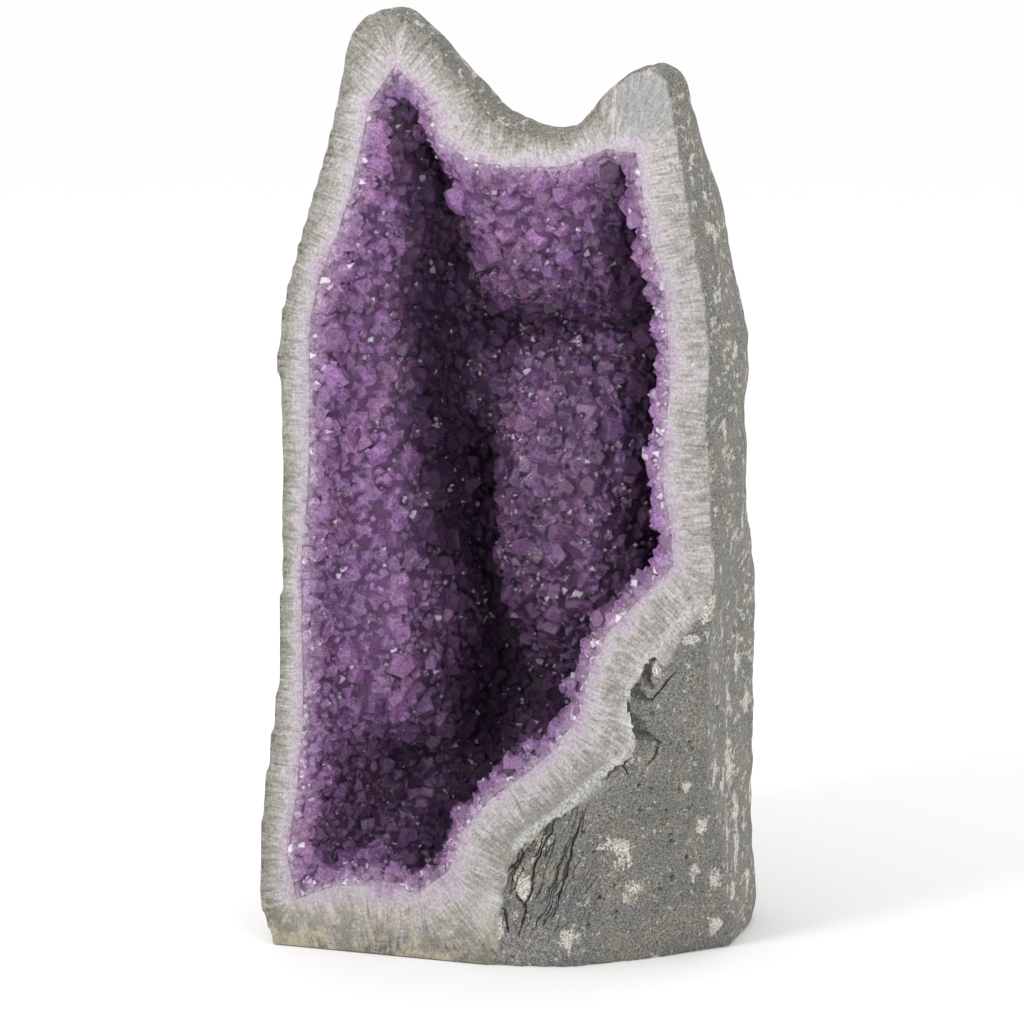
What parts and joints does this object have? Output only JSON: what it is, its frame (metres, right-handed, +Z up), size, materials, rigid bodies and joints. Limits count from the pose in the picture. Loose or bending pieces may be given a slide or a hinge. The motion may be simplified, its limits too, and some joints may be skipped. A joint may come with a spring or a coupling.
{
  "type": "polished amethyst druse",
  "caption": "Standing natural geode cut flat at the front and the base, with a pale quartz rim round a deep hollow lined with violet crystals.",
  "frame": {"origin": "middle of the flat base, where it stands", "axes": "+Z up along the tall side, -Y out of the flat front cut that opens the hollow, +X to the side with the broken lower corner"},
  "size_m": [0.2332, 0.168, 0.4588],
  "materials": {
    "basalt": "rough grey basalt, ground flat at the front and the base",
    "quartz": "pale fibrous quartz, smooth where it is cut",
    "amethyst": "clear violet crystals with bright flat faces"
  },
  "bodies": {
    "root": {"basalt_matrix": "basalt", "quartz_band": "quartz", "amethyst_druse": "amethyst"}
  },
  "joints": []
}
